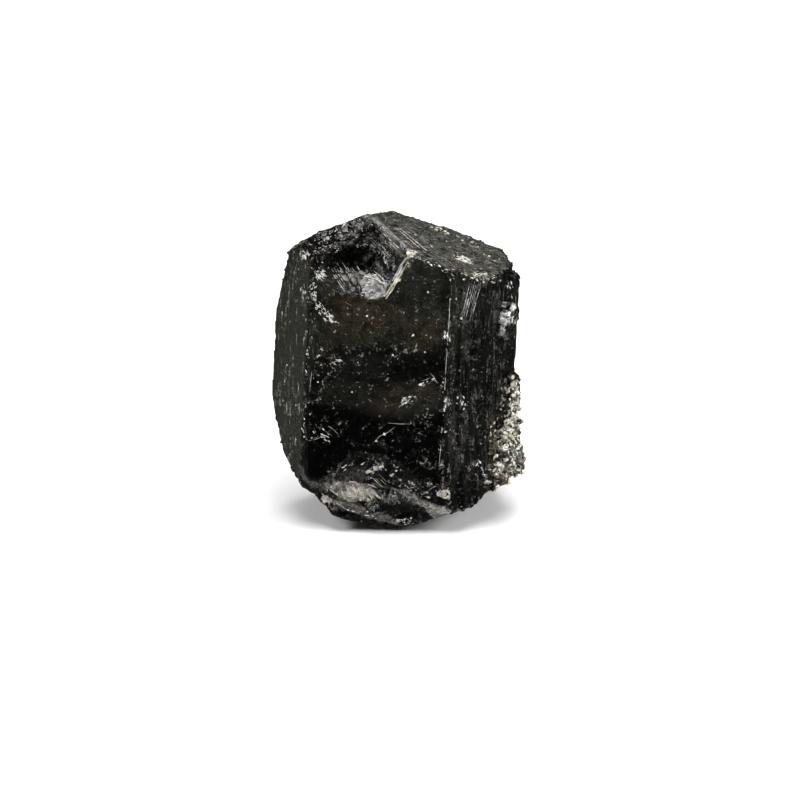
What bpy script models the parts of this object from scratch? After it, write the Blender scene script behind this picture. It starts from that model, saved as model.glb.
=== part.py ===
"""A black tourmaline (schorl) crystal that stands on its broken base, with pale mica and feldspar grown on its side.

The crystal is a trigonal prism with striated sides. It ends above in sloping faces of the rhombohedron and in a large
shell-shaped hollow, and it is broken off below. Z is up, the front face looks to -Y, and the origin is a point of the
flat patch that the crystal stands on, below the middle of the prism. The figures are in millimetres and become metres.
"""

import math
import random

import bmesh
import bpy
from mathutils import Matrix, Vector, noise

MM = 0.001
GAP = 0.3  # between the crystal and what has grown on it

# The sides of the prism, in order round its axis, on a level cut at LEAN_PIVOT: the corner where each starts, how
# many striations it carries and how deep they are.
SIDES = {
    "front": ((-11.65, -7.95), 1, 0.08),
    "front_right": ((5.6, -11.05), 6, 0.26),
    "right_corner": ((8.8, -10.1), 4, 0.32),
    "right": ((10.75, -7.7), 9, 0.42),
    "right_back": ((13.8, 4.8), 6, 0.34),
    "back_corner": ((12.8, 12.2), 6, 0.30),
    "back": ((5.6, 13.3), 6, 0.28),
    "back_left": ((-1.6, 11.5), 14, 0.36),
    "left": ((-16.0, 0.4), 7, 0.12),
}
AXIS_LEAN = math.radians(2.6)  # the prism's axis leans this far to +X
LEAN_PIVOT = 18.0  # height at which the leaning axis crosses the Z axis
TAPER = 0.0009  # how much narrower the prism gets for each millimetre up
SECTION_HEIGHTS = (-3, 4, 10, 16, 22, 28, 34, 42)
STRIATION_SEED = 11

# The flat faces and the breaks that bound the prism: a point on each, the way it faces, and how uneven it is.
APEX = (-3.5, 5.0, 37.1)
FACES = {
    "right_termination": ((6.1, -11.1, 34.7), (0.378, 0.08, 1.0), 0.0),
    "back_termination": (APEX, (-0.38, 0.40, 1.0), 0.0),
    "left_shoulder": ((-14.9, 0.4, 28.6), (-0.94, -0.24, 0.21), 0.20),
    "left_rim": ((-11.3, -1.0, 35.7), (-0.70, 0.30, 1.0), 0.0),
    "left_break": ((-16.1, 0.4, 15.0), (-0.88, 0.308, -0.364), 0.45),
    "left_foot_break": ((-12.2, -7.9, 5.8), (-0.70, 0.07, -0.71), 0.45),
    "left_heel_break": ((-8.2, -8.5, 2.1), (-0.36, -0.065, -0.93), 0.30),
    "front_foot_break": ((-3.0, -9.3, 2.6), (-0.05, -0.86, -0.50), 0.30),
    "right_foot_break": ((9.25, -9.9, 3.9), (0.348, -0.249, -1.0), 0.40),
    "right_heel_break": ((11.0, -6.5, 4.3), (0.60, -0.26, -1.0), 0.40),
    "back_foot_break": ((0.0, 9.5, 1.2), (-0.05, 0.62, -0.78), 0.60),
    "rest_face": ((0.0, 0.0, 0.0), (0.0, 0.0, -1.0), 0.0),
}
BREAK_CELLS = 22
CUTTER_REACH = 50.0

# Shell-shaped (conchoidal) scars: centre and half-sizes of the ball that leaves each, its turn about Z in degrees,
# and the way to where its ripples start.
SCARS = {
    "top_hollow": ((-5.4, -7.5, 38.6), (6.3, 12.0, 8.0), 19, (0.2, 0.5, -0.8)),
    "top_pit": ((-4.9, -0.6, 34.4), (3.6, 2.5, 3.4), 24, (0.3, 0.5, -0.8)),
    "top_wall_scar": ((-9.3, 0.6, 38.6), (4.6, 4.2, 4.4), -10, (0.5, 0.1, -0.8)),
    "foot_scar": ((-4.5, -14.4, 6.6), (8.0, 6.6, 6.0), 0, (-0.2, 0.9, 0.2)),
    "foot_scar_left": ((-10.0, -11.9, 4.6), (3.9, 4.4, 3.6), 0, (-0.4, 0.8, -0.2)),
    "foot_scar_right": ((2.0, -15.0, 4.9), (6.2, 5.8, 3.8), 0, (0.4, 0.8, 0.3)),
    "foot_scar_upper": ((-3.4, -12.4, 7.7), (3.6, 3.8, 3.4), 0, (0.3, 0.8, -0.3)),
    "back_scar": ((-11.5, 13.2, 7.0), (9.5, 7.5, 9.0), 38, (0.5, -0.7, 0.3)),
    "back_scar_lower": ((-3.0, 16.0, 2.5), (7.0, 6.5, 6.0), 20, (0.1, -0.9, 0.2)),
    "back_side_scar": ((11.8, 15.6, 24.0), (5.0, 4.2, 5.6), -14, (-0.4, -0.8, -0.3)),
}
RIPPLES = 16
RIPPLE_HEIGHT = 0.12
SCAR_ROUGHNESS = 0.25

# Narrow columns grown parallel to the prism: middle on the cut at LEAN_PIVOT, radius, and height of the worn top.
COLUMNS = {
    "right_column": ((13.15, 3.6), 1.45, 29.6),
    "back_column": ((8.9, 11.6), 2.2, 21.0),
}

# Lumps of what has grown on the crystal: middle and half-sizes.
MATRIX_LUMPS = (
    ((12.9, -1.8, 6.9), (2.6, 4.6, 4.0)),
    ((13.4, 1.4, 9.2), (1.8, 3.2, 4.2)),
    ((11.9, -5.4, 5.6), (1.8, 2.5, 2.6)),
    ((14.1, 2.6, 13.9), (1.15, 2.0, 3.6)),
)
PATCH_LUMPS = (
    ((13.1, -2.8, 24.9), (0.9, 1.2, 2.2)),
    ((13.8, -1.2, 26.0), (1.0, 1.6, 1.5)),
)
LUMP_RELIEF = 0.16


def metres(point):
    return Vector(point) * MM


def mesh_object(name, bm, collection):
    mesh = bpy.data.meshes.new(name)
    bm.normal_update()
    bm.to_mesh(mesh)
    bm.free()
    made = bpy.data.objects.new(name, mesh)
    collection.objects.link(made)
    return made


def on_axis(point, height):
    """Where a point of the cut at LEAN_PIVOT lies at another height of the leaning, tapering prism."""
    rise = height - LEAN_PIVOT
    across = Vector(point) * (1 - TAPER * rise)
    return Vector((across.x + math.tan(AXIS_LEAN) * rise, across.y, height))


def striated_section(height, outset):
    """The prism's outline at a height: straight sides cut by grooves whose depth drifts along the prism."""
    rng = random.Random(STRIATION_SEED)
    corners = [Vector(corner) for corner, _, _ in SIDES.values()]
    outline = []
    for i, (_, count, depth) in enumerate(SIDES.values()):
        start, end = corners[i], corners[(i + 1) % len(corners)]
        outward = Vector((end.y - start.y, start.x - end.x)).normalized()
        widths = [rng.uniform(0.4, 1.6) for _ in range(count)]
        done = 0.0
        for k, width in enumerate(widths):
            share = width / sum(widths)
            drift = 0.7 + 0.8 * noise.noise(Vector((i * 7.3, k * 3.1, height * 0.09)))
            for place, level in ((0.05, 0.1), (0.45, rng.uniform(0.0, 0.5)), (0.8, 1.0)):
                groove = depth * drift * level
                point = start.lerp(end, done + share * place) + outward * (outset - groove)
                outline.append(on_axis(point, height) * MM)
            done += share
    return outline


def prism(name, collection, outset=0.0):
    """A closed solid lofted through the outlines of the prism at all heights."""
    bm = bmesh.new()
    rings = [[bm.verts.new(p) for p in striated_section(h, outset)] for h in SECTION_HEIGHTS]
    for low, high in zip(rings, rings[1:]):
        for i in range(len(low)):
            j = (i + 1) % len(low)
            bm.faces.new((low[i], low[j], high[j], high[i]))
    bm.faces.new(rings[-1])
    bm.faces.new(rings[0][::-1])
    return mesh_object(name, bm, collection)


def column(name, collection, outset=0.0):
    """A narrow seven-sided prism with a worn top, parallel to the large one."""
    middle, radius, top = COLUMNS[name]
    reach = (radius + outset) * MM
    bm = bmesh.new()
    bmesh.ops.create_cone(bm, cap_ends=True, segments=7, radius1=reach, radius2=reach, depth=top * MM)
    rim = [edge for edge in bm.edges if all(vert.co.z > 0 for vert in edge.verts)]
    bmesh.ops.bevel(bm, geom=rim, offset=reach * 0.45, segments=2, profile=0.5, affect="EDGES")
    made = mesh_object(name, bm, collection)
    made.location = on_axis(middle, top / 2) * MM
    made.rotation_euler = (0, AXIS_LEAN, math.radians(17))
    return made


def turned_to(direction):
    """The rotation that turns +Z to a direction."""
    return Vector((0, 0, 1)).rotation_difference(Vector(direction)).to_matrix().to_4x4()


def face_cutter(name, collection):
    """A block that takes off all beyond a face. Where the stone is broken, the block's near side is uneven."""
    point, direction, relief = FACES[name]
    cells = BREAK_CELLS if relief else 1
    bm = bmesh.new()
    bmesh.ops.create_grid(bm, x_segments=cells, y_segments=cells, size=CUTTER_REACH / 2 * MM)
    for vert in bm.verts:
        rough = noise.fractal(vert.co / MM * 0.13 + Vector(point), 0.8, 2.0, 3)
        vert.co.z += relief * rough * MM
    far_side = bmesh.ops.extrude_face_region(bm, geom=bm.faces[:])["geom"]
    far_verts = [item for item in far_side if isinstance(item, bmesh.types.BMVert)]
    bmesh.ops.translate(bm, vec=(0, 0, CUTTER_REACH / 2 * MM), verts=far_verts)
    bmesh.ops.recalc_face_normals(bm, faces=bm.faces)
    made = mesh_object(name, bm, collection)
    made.matrix_world = Matrix.Translation(metres(point)) @ turned_to(direction)
    return made


def scar_cutter(name, collection):
    """A squashed ball with rings of ripples round one point, as glassy stone breaks."""
    middle, half_sizes, turn, start = SCARS[name]
    start = Vector(start).normalized()
    bm = bmesh.new()
    bmesh.ops.create_icosphere(bm, subdivisions=4, radius=1)
    for vert in bm.verts:
        way = vert.co.normalized()
        swell = RIPPLE_HEIGHT * math.sin(RIPPLES * way.angle(start))
        swell += SCAR_ROUGHNESS * noise.fractal(way * 1.3 + Vector(middle), 0.9, 2.1, 3)
        vert.co = Vector([w * (half + swell) * MM for w, half in zip(way, half_sizes)])
    made = mesh_object(name, bm, collection)
    made.location = metres(middle)
    made.rotation_euler.z = math.radians(turn)
    return made


def lump(name, middle, half_sizes, collection):
    """A rough grainy lump."""
    bm = bmesh.new()
    bmesh.ops.create_icosphere(bm, subdivisions=3, radius=1)
    for vert in bm.verts:
        way = vert.co.normalized()
        relief = 1 + LUMP_RELIEF * noise.fractal(way * 2.4 + Vector(middle), 0.5, 2.2, 3)
        vert.co = Vector([w * half * relief * MM for w, half in zip(way, half_sizes)])
    made = mesh_object(name, bm, collection)
    made.location = metres(middle)
    return made


def boolean(obj, other, operation):
    modifier = obj.modifiers.new(other.name, "BOOLEAN")
    modifier.operation = operation
    modifier.object = other
    modifier.solver = "EXACT"


def material(name, colour, roughness):
    made = bpy.data.materials.new(name)
    made.use_nodes = True
    shader = made.node_tree.nodes["Principled BSDF"]
    shader.inputs["Base Color"].default_value = (*colour, 1)
    shader.inputs["Roughness"].default_value = roughness
    return made


def crystal(parts, cutters):
    body = prism("tourmaline_crystal", parts)
    for name in COLUMNS:
        boolean(body, column(name, cutters), "UNION")
    for name in FACES:
        boolean(body, face_cutter(name, cutters), "DIFFERENCE")
    for name in SCARS:
        boolean(body, scar_cutter(name, cutters), "DIFFERENCE")
    body.data.materials.append(material("black_tourmaline", (0.012, 0.011, 0.009), 0.22))


def grown_on(name, lumps, clearances, colour, parts, cutters):
    """Lumps joined in one solid that stops just short of the crystal."""
    first, *others = lumps
    body = lump(name, *first, parts)
    for i, other in enumerate(others):
        boolean(body, lump(f"{name}_lump_{i}", *other, cutters), "UNION")
    for clearance in clearances:
        boolean(body, clearance, "DIFFERENCE")
    body.data.materials.append(material(f"{name}_stone", colour, 0.55))


def main():
    for obj in list(bpy.data.objects):
        bpy.data.objects.remove(obj)
    parts = bpy.data.collections.new("tourmaline")
    cutters = bpy.data.collections.new("cutters")
    for collection in (parts, cutters):
        bpy.context.scene.collection.children.link(collection)
    crystal(parts, cutters)
    clearances = [prism("prism_clearance", cutters, GAP)]
    clearances += [column(name, cutters, GAP) for name in COLUMNS]
    clearances.append(face_cutter("right_heel_break", cutters))
    grown_on("mica_feldspar_matrix", MATRIX_LUMPS, clearances, (0.42, 0.37, 0.30), parts, cutters)
    grown_on("mica_patch", PATCH_LUMPS, clearances, (0.60, 0.58, 0.52), parts, cutters)
    for cutter in cutters.objects:
        cutter.hide_render = True
        cutter.display_type = "WIRE"


main()
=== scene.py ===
"""A black tourmaline crystal with mica and feldspar on its side, on a plain floor in soft studio light.

The solids come from model.glb. Finer copies with relief and glassy scratched stone stand in for them, and
flakes, plates and strips too small for the solids are laid on those. Lengths are in millimetres, and become
metres where a mesh is written.
"""

import itertools
import math
import random
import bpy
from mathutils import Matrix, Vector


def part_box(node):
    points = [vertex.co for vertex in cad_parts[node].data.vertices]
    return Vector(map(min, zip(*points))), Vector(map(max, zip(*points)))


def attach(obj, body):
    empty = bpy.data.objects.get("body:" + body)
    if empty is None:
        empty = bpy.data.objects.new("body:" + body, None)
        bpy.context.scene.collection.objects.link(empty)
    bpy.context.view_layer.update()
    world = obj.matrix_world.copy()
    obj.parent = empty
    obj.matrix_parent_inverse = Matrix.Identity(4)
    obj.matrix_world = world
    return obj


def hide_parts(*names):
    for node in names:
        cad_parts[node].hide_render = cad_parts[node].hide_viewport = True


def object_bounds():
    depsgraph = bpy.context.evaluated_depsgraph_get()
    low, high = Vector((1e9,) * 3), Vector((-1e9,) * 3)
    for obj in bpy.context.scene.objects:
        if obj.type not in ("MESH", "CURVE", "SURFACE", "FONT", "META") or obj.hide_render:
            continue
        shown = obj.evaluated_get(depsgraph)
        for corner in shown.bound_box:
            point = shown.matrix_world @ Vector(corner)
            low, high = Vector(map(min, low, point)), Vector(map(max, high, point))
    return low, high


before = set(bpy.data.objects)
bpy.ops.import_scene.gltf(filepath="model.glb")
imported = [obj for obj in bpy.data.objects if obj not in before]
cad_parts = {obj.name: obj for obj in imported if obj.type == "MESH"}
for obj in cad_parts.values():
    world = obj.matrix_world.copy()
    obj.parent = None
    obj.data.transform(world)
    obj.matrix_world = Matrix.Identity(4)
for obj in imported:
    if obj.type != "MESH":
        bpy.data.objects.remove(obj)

from types import SimpleNamespace

import bmesh
import bpy
import numpy as np
from mathutils import Vector, noise
from mathutils.bvhtree import BVHTree
from mathutils.kdtree import KDTree

CAD_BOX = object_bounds()
MM = 0.001

# The camera looks along +Y from a little above. Places in the image are pixels of its 800 by 800 frame.
IMAGE = 800
LENS = 144.0
SENSOR = 36.0
CAMERA_TARGET = np.array((0.0, 0.0, 14.24))
CAMERA_DISTANCE = 400.0
CAMERA_ELEVATION = math.radians(20)
RIGHT = np.array((1.0, 0.0, 0.0))
BACK = np.array((0.0, -math.cos(CAMERA_ELEVATION), math.sin(CAMERA_ELEVATION)))
UP = np.cross(BACK, RIGHT)
PIXEL = SENSOR / LENS / IMAGE  # how far apart the rays of two neighbouring pixels are, per unit of distance

# The prism's axis leans to +X and crosses the Z axis at this height.
AXIS_LEAN = math.tan(math.radians(2.6))
LEAN_PIVOT = 18.0
MEAN_RADIUS = 13.0

CRYSTAL_VOXEL = 0.228  # how far apart the points of the crystal's fine copy are
GROWTH_VOXEL = 0.15
CREASE = math.radians(25)  # edges sharper than this are worn
SCAR_SMOOTHING = 16  # rounds
EDGE_SMOOTHING = 2
GROWTH_SMOOTHING = 4
FRONT_END = 6.2  # the front face lies left of this X
LEFT_END = 0.6  # the left face lies in front of this Y
COLUMN_WIDTH = 1.25
COLUMN_DEPTH = 0.34
GROOVE_WIDTH = 0.6
GROOVE_DEPTH = 0.14
CHIP_DEPTH = 0.20  # on the worn edges
CHIP_REACH = 0.6
FOOT_HEIGHT = 0.3  # the relief fades out this far above the floor

# How much of each pattern each kind of surface has.
RELIEF = {
    "striated": {"grooves": 1.0, "rough": 0.03, "pits": 0.10},
    "front": {"swell": 0.05, "pits": 0.12, "grooves": 0.04},
    "left": {"swell": 0.05, "pits": 0.08, "grooves": 0.10},
    "top": {"rays": 0.10, "rough": 0.09, "grain": 0.05, "pits": 0.16},
    "broken": {"rough": 0.10, "grain": 0.05},
}
# What broken surfaces are shattered into: the size of the small flat facets and how far they stand out.
SHATTER = ((2.2, 0.20), (2.2 / 2.6, 0.20))
CELL_SHUFFLE = 37.3  # gives the cells of a pattern values that have nothing to do with their neighbours'
JOINT_GAP = 0.3  # between the solids of the crystal and of what grew on it
JOINT_REACH = 0.7
JOINT_DEPTH = 0.2

# Shell-shaped scars: centre and half-sizes of the ball that left each, and its turn about Z in degrees.
SCARS = {
    "top_hollow": ((-5.4, -7.5, 38.6), (6.3, 12.0, 8.0), 19),
    "top_pit": ((-4.9, -0.6, 34.4), (3.6, 2.5, 3.4), 24),
    "top_wall_scar": ((-9.3, 0.6, 38.6), (4.6, 4.2, 4.4), -10),
    "foot_scar": ((-4.5, -14.4, 6.6), (8.0, 6.6, 6.0), 0),
    "foot_scar_left": ((-10.0, -11.9, 4.6), (3.9, 4.4, 3.6), 0),
    "foot_scar_right": ((2.0, -15.0, 4.9), (6.2, 5.8, 3.8), 0),
    "foot_scar_upper": ((-3.4, -12.4, 7.7), (3.6, 3.8, 3.4), 0),
    "back_scar": ((-11.5, 13.2, 7.0), (9.5, 7.5, 9.0), 38),
    "back_scar_lower": ((-3.0, 16.0, 2.5), (7.0, 6.5, 6.0), 20),
    "back_side_scar": ((11.8, 15.6, 24.0), (5.0, 4.2, 5.6), -14),
}

# Soft-edged areas in the image: middle, half-sizes and tilt in degrees, and then how strong each is.
SHADED_AREAS = {
    # a painted sheen: reflected light painted on the front face as lighter olive patches, turning brown where
    # the brown areas lie
    "cloudy": (
        ((370, 322, 52, 24, -4), 0.95), ((420, 322, 28, 32, 0), 0.9), ((420, 285, 26, 22, 15), 0.9),
        ((408, 400, 38, 17, -6), 0.85), ((350, 394, 34, 14, 0), 0.5), ((322, 335, 18, 24, 0), 0.7),
        ((460, 310, 18, 50, 0), 0.5), ((380, 366, 72, 14, 0), 0.35), ((334, 292, 26, 14, 20), 0.8),
        ((392, 300, 16, 10, 0), 0.7),
    ),
    # where the painted sheen on the front face turns brown
    "brown": (
        ((355, 312, 36, 24, 0), 1.0), ((392, 318, 16, 14, 0), 0.6), ((425, 335, 24, 16, 0), 0.8),
        ((390, 394, 26, 10, -8), 0.9), ((432, 385, 16, 10, 0), 0.9), ((330, 348, 16, 8, 0), 0.5),
    ),
    # painted shade: near black where shade and dark reflections fall, in the hollow's cavity, on the front's
    # dark band and lower part, at the foot and down the side
    "deep": (
        ((420, 368, 36, 11, -5), 0.8), ((378, 448, 66, 26, 0), 1.0), ((314, 462, 12, 22, 0), 1.0),
        ((352, 258, 17, 11, -20), 1.0), ((395, 508, 28, 8, 12), 1.0), ((360, 524, 36, 8, 5), 0.9),
        ((486, 340, 8, 50, 0), 0.7), ((333, 414, 26, 12, 0), 0.6),
    ),
    # pale bruises: whitish crushed stone on chipped edges, with painted glints on those edges and in the
    # hollow
    "pale": (
        ((438, 228, 9, 4, 20), 0.75), ((463, 259, 8, 3, 15), 0.6), ((480, 274, 10, 4, 0), 0.45),
        ((321, 275, 5, 5, -40), 0.55), ((313, 286, 3, 4, 0), 0.5), ((313, 297, 4, 8, -10), 0.5),
        ((321, 308, 7, 9, -35), 0.42), ((327, 316, 5, 7, -35), 0.42), ((402, 522, 14, 3, 0), 0.45),
        ((376, 467, 9, 4, -20), 0.75), ((326, 500, 6, 5, 30), 0.8), ((371, 252, 13, 7, 35), 0.42),
        ((443, 494, 7, 5, 0), 0.6), ((370, 276, 12, 3, 25), 0.7), ((330, 238, 28, 9, -25), 0.30),
        ((352, 221, 16, 6, -20), 0.34), ((304, 256, 8, 6, -40), 0.42), ((386, 240, 16, 3, 42), 0.42),
    ),
    "speckled": (
        ((326, 362, 26, 16, 0), 1.0), ((400, 436, 48, 13, 0), 0.8), ((430, 380, 18, 10, 0), 1.0),
        ((316, 425, 14, 26, 0), 0.8), ((288, 420, 12, 50, 0), 0.8), ((428, 465, 20, 24, 0), 0.7),
        ((449, 345, 8, 70, 0), 0.6), ((458, 400, 14, 26, 0), 0.7), ((470, 248, 40, 16, 20), 0.8),
        ((345, 234, 30, 12, -20), 1.0), ((500, 440, 14, 40, 0), 0.9), ((375, 355, 60, 10, 0), 0.7),
        ((350, 480, 50, 8, 0), 0.8),
    ),
}

# Streaks that run one way: a point and the way they run, the area, the spacing in pixels, their height, and
# how pale they are.
# Their pale crests are partly the streaks' pale stone and partly painted light catching them; the arc on the
# side is a painted sheen.
STREAKS = {
    "ledges": ((371, 215), (40, 39), (385, 240, 34, 13, 43), 3.8, 0.36, 0.35),
    "band": ((345, 235), (45, -14), (340, 234, 34, 12, -22), 4.0, 0.12, 0.12),
    "fan": ((338, 262), (24, 28), (346, 276, 20, 10, 48), 3.2, 0.16, 0.55),
    "foot": ((330, 485), (50, 14), (356, 490, 40, 12, 12), 3.5, 0.18, 0.4),
    "foot_left": ((316, 480), (40, 22), (330, 488, 20, 9, 25), 3.5, 0.16, 0.3),
    "arc": ((470, 300), (-9, 30), (471, 304, 8, 30, 26), 2.6, 0.16, 0.22),
    "corner": ((458, 430), (-1, 30), (458, 440, 9, 40, 0), 2.6, 0.08, 0.05),
}
# Parts of the surface that are pressed in or stand out: the area and how far.
DENTS = (
    ((353, 259, 25, 10, -14), -0.75), ((318, 300, 7, 16, -18), -0.30), ((376, 467, 12, 4, 15), 0.30),
    ((458, 345, 3, 60, 2), -0.35), ((474, 360, 3, 90, 1), -0.35), ((489, 380, 3, 90, 0), -0.4),
)
# A raised arch above the dark cavity of the hollow: its middle, radii and width in pixels, and its height.
ARCH = ((362, 271), (27, 25), 4.5, 0.35)
# Cleaved facets of the foot and of the hollow: how pale each is, the way it faces or None where it isn't made
# flat, and its outline in the image.
# Paleness near 0 is painted shade, in the hollow's dark cavity and on the foot's darkest facets. The hollow's
# floor, at 0.16, is a painted highlight; the foot's paler facets are pale stone.
CLEAVAGES = (
    (0.080, (-0.15, -0.75, 0.62), ((317, 483), (329, 476), (347, 479), (351, 489), (338, 494), (322, 491))),
    (0.300, (0.05, -0.93, 0.30), (
        (337, 488), (352, 482), (370, 485), (378, 493), (367, 499), (352, 502), (338, 497),
    )),
    (0.110, None, ((324, 498), (338, 500), (368, 507), (392, 517), (404, 527), (372, 519), (340, 509))),
    (0.000, None, ((328, 507), (345, 513), (372, 521), (398, 529), (380, 536), (330, 526))),
    (0.001, (0.10, -0.85, -0.50), ((364, 505), (378, 496), (402, 497), (426, 509), (420, 517), (392, 517))),
    (0.210, None, (
        (384, 484), (398, 487), (428, 501), (453, 510), (446, 518), (434, 520), (426, 511), (404, 497),
    )),
    (0.050, None, (
        (298, 462), (303, 470), (309, 480), (319, 484), (322, 490), (311, 488), (302, 480), (297, 470),
    )),
    (0.030, (0.35, -0.90, 0.20), ((338, 478), (346, 468), (366, 466), (372, 476), (362, 484), (350, 482))),
    (0.004, (-0.20, -0.97, 0.10), ((372, 476), (384, 468), (394, 480), (404, 492), (392, 488), (378, 484))),
    (0.000, (0.30, -0.55, 0.78), (
        (332, 262), (340, 252), (354, 247), (364, 254), (371, 268), (366, 274), (350, 270),
    )),
    (0.160, (-0.28, -0.30, 0.91), ((358, 283), (366, 279), (384, 284), (388, 291), (380, 301), (366, 298))),
    (0.002, (-0.55, -0.75, 0.36), ((373, 262), (384, 256), (396, 264), (392, 278), (384, 280), (376, 272))),
)
CLEAVAGE_SOFTNESS = 0.9  # in pixels
# Where the grains on the crystal's side are bright, where they are grey and where bare dark stone shows.
GRAIN_AREAS = {
    "bright": (
        ((516, 408, 6, 9, 0), 1.0), ((508, 430, 14, 6, -30), 0.7), ((503, 446, 6, 5, 0), 0.9),
        ((499, 468, 4, 10, 25), 0.9), ((518, 392, 5, 7, 0), 0.5), ((503, 324, 2, 13, 0), 1.0),
        ((513, 307, 3, 5, 10), 0.9),
    ),
    "grey": (
        ((514, 453, 11, 8, 0), 1.0), ((513, 467, 12, 5, -20), 0.9), ((487, 463, 9, 6, -20), 0.6),
        ((509, 317, 6, 6, 0), 0.8),
    ),
    "bare": (
        ((513, 334, 8, 8, 0), 1.0), ((506, 344, 16, 5, 0), 1.0), ((498, 430, 6, 8, 0), 0.5),
        ((496, 322, 4, 28, 0), 1.0), ((507, 301, 5, 5, 0), 0.8), ((508, 316, 2, 5, 20), 0.8),
        ((519, 316, 3, 16, 0), 1.0), ((511, 326, 5, 3, -10), 1.0),
    ),
}


# ---------------------------------------------------------------- the image and the camera

def make_camera():
    data = bpy.data.cameras.new("camera")
    data.lens = LENS
    data.sensor_width = SENSOR
    data.clip_start = 0.01
    camera = bpy.data.objects.new("camera", data)
    bpy.context.scene.collection.objects.link(camera)
    camera.location = (CAMERA_TARGET + BACK * CAMERA_DISTANCE) * MM
    camera.rotation_mode = "QUATERNION"
    camera.rotation_quaternion = Vector(-BACK).to_track_quat("-Z", "Y")
    bpy.context.scene.camera = camera


def ray_through(x, y):
    """The camera's place and the way its ray goes through a place in the image."""
    way = RIGHT * (x - IMAGE / 2) * PIXEL + UP * (IMAGE / 2 - y) * PIXEL - BACK
    return CAMERA_TARGET + BACK * CAMERA_DISTANCE, way / np.linalg.norm(way)


def image_of(points):
    """Where points are seen in the image."""
    away = points - (CAMERA_TARGET + BACK * CAMERA_DISTANCE)
    depth = -away @ BACK
    return np.stack((IMAGE / 2 + away @ RIGHT / depth / PIXEL, IMAGE / 2 - away @ UP / depth / PIXEL), axis=1)


def inside_area(seen, area, softness=0.45):
    """1 well inside a soft-edged tilted ellipse of the image, 0 outside it."""
    x, y, half_width, half_height, tilt = area
    turn = math.radians(tilt)
    dx, dy = seen[:, 0] - x, seen[:, 1] - y
    across = (dx * math.cos(turn) + dy * math.sin(turn)) / half_width
    down = (dy * math.cos(turn) - dx * math.sin(turn)) / half_height
    return 1 - ramp(np.hypot(across, down), 1 - softness, 1 + softness)


def inside_areas(seen, areas):
    return np.max([strength * inside_area(seen, area) for area, strength in areas], axis=0)


def inside_outline(seen, outline, softness):
    """1 inside a many-sided area of the image, 0 outside it."""
    inside = np.zeros(len(seen), bool)
    gap = np.full(len(seen), np.inf)
    for start, end in zip(outline, outline[1:] + outline[:1]):
        start, way = np.array(start, float), np.subtract(end, start)
        below = seen[:, 1] > start[1]
        crossing = below != (seen[:, 1] > end[1])
        level = start[0] + (seen[:, 1] - start[1]) / (way[1] or 1.0) * way[0]
        inside ^= crossing & (seen[:, 0] < level)
        along = np.clip((seen - start) @ way / (way @ way), 0, 1)
        gap = np.minimum(gap, np.linalg.norm(seen - start - along[:, None] * way, axis=1))
    return ramp(np.where(inside, gap, -gap), -softness, softness)


# ---------------------------------------------------------------- noise

def ramp(values, low, high):
    """0 below low, 1 above high, smooth between."""
    part = np.clip((values - low) / (high - low), 0, 1)
    return part * part * (3 - 2 * part)


def cloud(points, size, octaves=3, seed=0):
    """Smooth random values from -1 to 1. The largest swells are about size apart."""
    count = points.shape[1]
    table = np.random.default_rng(seed).uniform(-1, 1, (32,) * count)
    total = np.zeros(len(points))
    weight = 0.0
    for octave in range(octaves):
        place = points / size * 2 ** octave + 13.7 * octave
        cell = np.floor(place).astype(int)
        part = place - cell
        part = part * part * (3 - 2 * part)
        for corner in itertools.product((0, 1), repeat=count):
            share = np.prod(np.where(corner, part, 1 - part), axis=1)
            total += 0.6 ** octave * share * table[tuple(((cell + corner) % 32).T)]
        weight += 0.6 ** octave
    return total / weight


# ---------------------------------------------------------------- meshes

def fine_copy(node, name, voxel):
    """A copy of a CAD node's mesh, rebuilt from even squares of the given size."""
    scratch = bpy.data.objects.new(name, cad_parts[node].data.copy())
    bpy.context.scene.collection.objects.link(scratch)
    remesh = scratch.modifiers.new("remesh", "REMESH")
    remesh.mode = "VOXEL"
    remesh.voxel_size = voxel * MM
    seen = scratch.evaluated_get(bpy.context.evaluated_depsgraph_get())
    mesh = bpy.data.meshes.new_from_object(seen)
    mesh.name = name
    mesh.materials.clear()
    bpy.data.objects.remove(scratch)
    return mesh


def coordinates(mesh):
    flat = np.empty(len(mesh.vertices) * 3)
    mesh.vertices.foreach_get("co", flat)
    return flat.reshape(-1, 3) / MM


def set_coordinates(mesh, points):
    mesh.vertices.foreach_set("co", (points * MM).ravel())
    mesh.update()


def point_normals(mesh):
    flat = np.empty(len(mesh.vertices) * 3)
    mesh.vertex_normals.foreach_get("vector", flat)
    return flat.reshape(-1, 3)


def crease_line(node, spacing=0.12):
    """Points along the outward edges of a CAD node that are sharper than CREASE."""
    bm = bmesh.new()
    bm.from_mesh(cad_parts[node].data)
    bmesh.ops.remove_doubles(bm, verts=bm.verts, dist=0.002 * MM)
    line = []
    for edge in bm.edges:
        if len(edge.link_faces) == 2 and edge.is_convex and edge.calc_face_angle() > CREASE:
            start, end = (np.array(vert.co) / MM for vert in edge.verts)
            steps = 1 + int(np.linalg.norm(end - start) / spacing)
            line += [start + (end - start) * i / steps for i in range(steps + 1)]
    bm.free()
    return np.array(line)


def smoothed(mesh, points, rounds, hold):
    """Rounds off flat facets. Points stay where they are by their share of hold."""
    ends = np.empty(len(mesh.edges) * 2, int)
    mesh.edges.foreach_get("vertices", ends)
    ends = ends.reshape(-1, 2)
    degree = np.bincount(ends.ravel(), minlength=len(points))[:, None]
    free = 0.6 * (1 - hold)[:, None]
    for _ in range(rounds):
        total = np.zeros_like(points)
        for axis in range(3):
            total[:, axis] += np.bincount(ends[:, 0], points[ends[:, 1], axis], len(points))
            total[:, axis] += np.bincount(ends[:, 1], points[ends[:, 0], axis], len(points))
        points = points + free * (total / degree - points)
    return points


def distance_to(points, targets):
    """How far each point is from the nearest target."""
    tree = KDTree(len(targets))
    for i, target in enumerate(targets):
        tree.insert(target, i)
    tree.balance()
    return np.array([tree.find(point)[2] for point in points])


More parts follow.
